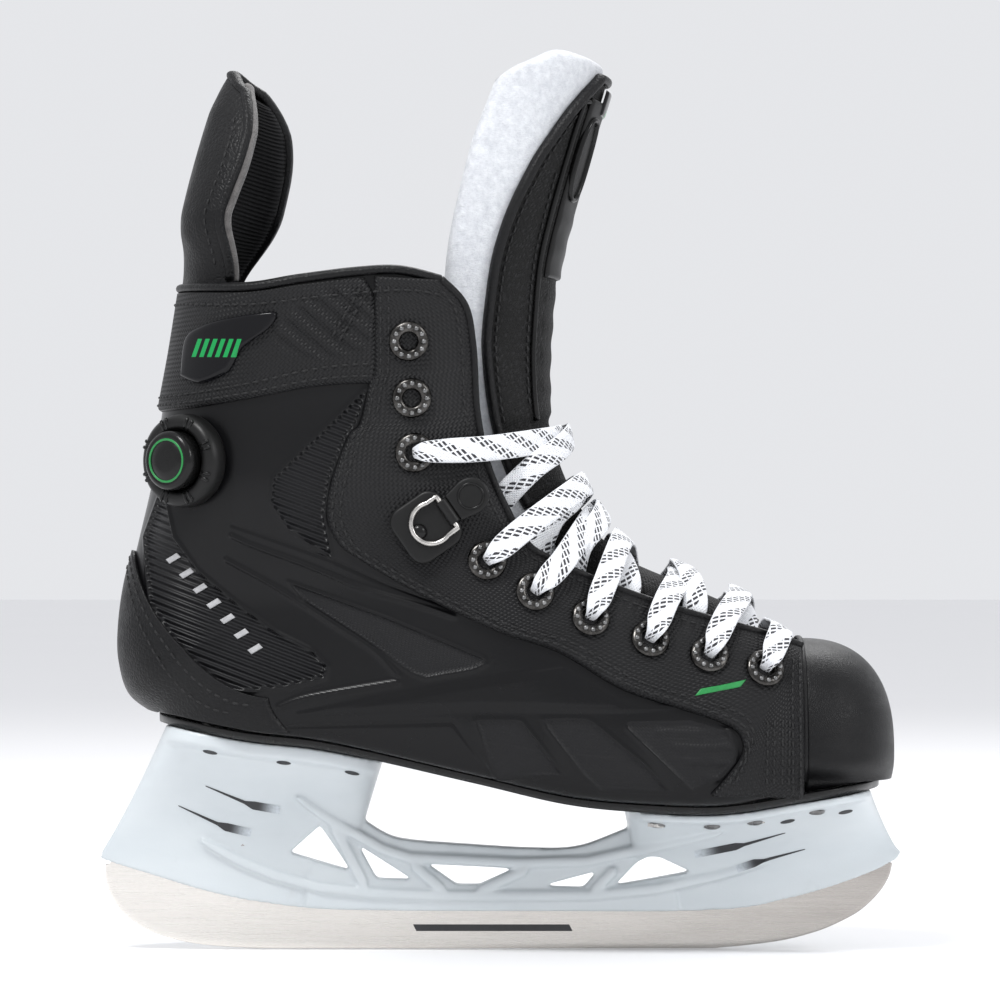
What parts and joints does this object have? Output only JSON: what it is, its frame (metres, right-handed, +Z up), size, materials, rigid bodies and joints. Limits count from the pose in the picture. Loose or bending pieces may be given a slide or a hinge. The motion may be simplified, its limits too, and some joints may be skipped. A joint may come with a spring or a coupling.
{
  "type": "ice hockey skate",
  "caption": "Right ice hockey skate: padded lace-up boot with tongue, tendon guard and heel pump, on a moulded blade holder with a steel runner.",
  "frame": {"origin": "under the middle of the runner, on the ice", "axes": "+X towards the toe, +Y towards the medial side of this right skate, +Z up"},
  "size_m": [0.288, 0.1093, 0.3234],
  "materials": {
    "shell_plastic": "satin black moulded shell",
    "black_fabric": "textured black synthetic fabric",
    "lining": "brushed dark lining over foam",
    "white_felt": "thick white felt",
    "grey_felt": "thick grey felt edge",
    "black_rubber": "satin",
    "gloss_badge": "gloss black with green bars",
    "eyelet": "gunmetal",
    "bright_metal": "polished nickel",
    "runner_steel": "brushed along its length",
    "holder_plastic": "satin white moulding",
    "lace": "flat woven white with small dark dashes"
  },
  "bodies": {
    "boot": {"air_bladder": "black_rubber", "air_tube": "black_rubber", "blade_holder": "holder_plastic", "collar_badge_lateral": "gloss_badge", "collar_badge_medial": "gloss_badge", "collar_band": "black_fabric", "eyelet_lateral_1": "eyelet", "eyelet_lateral_2": "eyelet", "eyelet_lateral_3": "eyelet", "eyelet_lateral_4": "eyelet", "eyelet_lateral_5": "eyelet", "eyelet_lateral_6": "eyelet", "eyelet_lateral_7": "eyelet", "eyelet_lateral_8": "eyelet", "eyelet_lateral_9": "eyelet", "eyelet_medial_1": "eyelet", "eyelet_medial_2": "eyelet", "eyelet_medial_3": "eyelet", "eyelet_medial_4": "eyelet", "eyelet_medial_5": "eyelet", "eyelet_medial_6": "eyelet", "eyelet_medial_7": "eyelet", "eyelet_medial_8": "eyelet", "eyelet_medial_9": "eyelet", "facing_lateral": "black_fabric", "facing_medial": "black_fabric", "footbed": "lining", "heel_counter": "black_fabric", "lace": "lace", "liner": "lining", "outsole": "shell_plastic", "pump_base": "black_rubber", "quarter_shell": "shell_plastic", "release_housing": "black_rubber", "release_valve": "black_rubber", "rivet_front_5": "bright_metal", "rivet_front_6": "bright_metal", "rivet_front_7": "bright_metal", "rivet_front_8": "bright_metal", "rivet_rear_1": "bright_metal", "rivet_rear_2": "bright_metal", "rivet_rear_3": "bright_metal", "rivet_rear_4": "bright_metal", "runner": "runner_steel", "runner_stud_front": "bright_metal", "runner_stud_rear": "bright_metal", "toe_cap": "shell_plastic", "tongue_cover_lower": "black_fabric", "tongue_felt_lower": "white_felt"},
    "tongue_top": {"tongue_cover_upper": "black_fabric", "tongue_felt_upper": "white_felt", "tongue_shin_guard": "black_rubber"},
    "tendon_guard": {"tendon_guard": "black_fabric", "tendon_guard_pad": "grey_felt"},
    "pump_button": {"pump_button": "black_rubber"},
    "release_tab": {"release_tab": "black_rubber"},
    "release_ring": {"release_ring": "bright_metal"}
  },
  "joints": [
    {"name": "tongue_flop", "type": "hinge", "parent": "boot", "child": "tongue_top", "pos_m": [0.0184, 0.0013, 0.1882], "axis": [0, 1, 0], "range_deg": [0, 40], "stiffness_Nm_per_rad": 1.2},
    {"name": "tendon_guard_flex", "type": "hinge", "parent": "boot", "child": "tendon_guard", "pos_m": [-0.1136, 0, 0.2365], "axis": [0, -1, 0], "range_deg": [0, 20], "stiffness_Nm_per_rad": 4},
    {"name": "pump_press", "type": "slide", "parent": "boot", "child": "pump_button", "axis": [0.5878, 0.809, 0], "range_m": [0, 0.004], "stiffness_N_per_m": 2000},
    {"name": "release_tab_lift", "type": "hinge", "parent": "boot", "child": "release_tab", "pos_m": [-0.00656, -0.04808, 0.16464], "axis": [-0.5708, 0.0023, 0.8211], "range_deg": [0, 20], "stiffness_Nm_per_rad": 0.02},
    {"name": "release_ring_swing", "type": "hinge", "parent": "release_tab", "child": "release_ring", "pos_m": [-0.01842, -0.0496, 0.1564], "axis": [-0.5708, 0.0023, 0.8211], "range_deg": [0, 110]}
  ]
}
